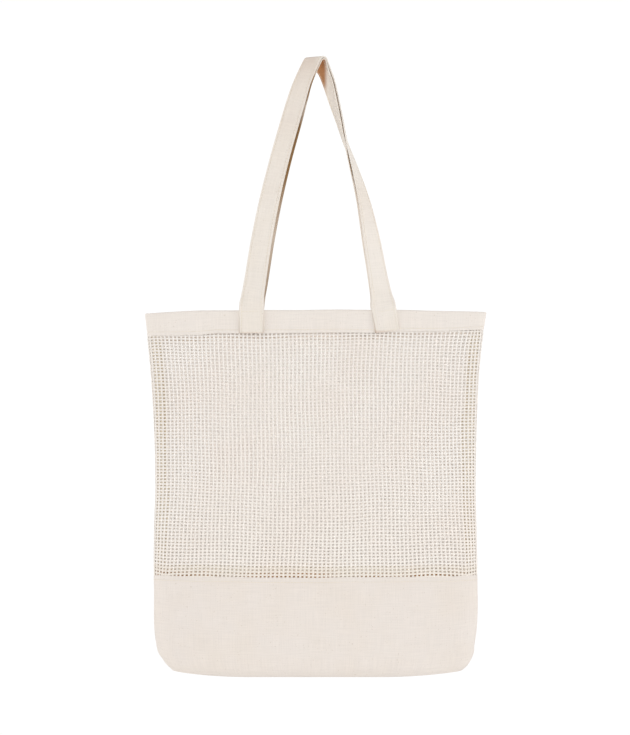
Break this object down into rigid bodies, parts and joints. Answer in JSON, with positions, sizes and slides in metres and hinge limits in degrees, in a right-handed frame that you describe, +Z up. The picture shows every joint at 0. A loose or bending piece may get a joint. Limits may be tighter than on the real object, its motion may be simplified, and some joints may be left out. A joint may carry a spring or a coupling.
{
  "type": "mesh tote bag",
  "caption": "Empty cotton tote with walls of open square net, a folded canvas band round the mouth, a boxed canvas base and long flat handles, hung from a hook by its handles.",
  "frame": {"origin": "Underside of the fold of the handles, where a hook, peg or hand carries the bag.", "axes": "Z points up, X runs along the width of the mouth to the right of someone facing the front, and Y points from the front to the back."},
  "size_m": [0.3818, 0.075, 0.6948],
  "materials": {
    "canvas": "natural unbleached cotton canvas, matt plain weave",
    "net": "natural unbleached cotton net, matt soft yarn in open squares"
  },
  "bodies": {
    "root": {"top_band": "canvas", "net_front": "net", "net_back": "net", "base": "canvas", "handle_front": "canvas", "handle_back": "canvas"}
  },
  "joints": []
}
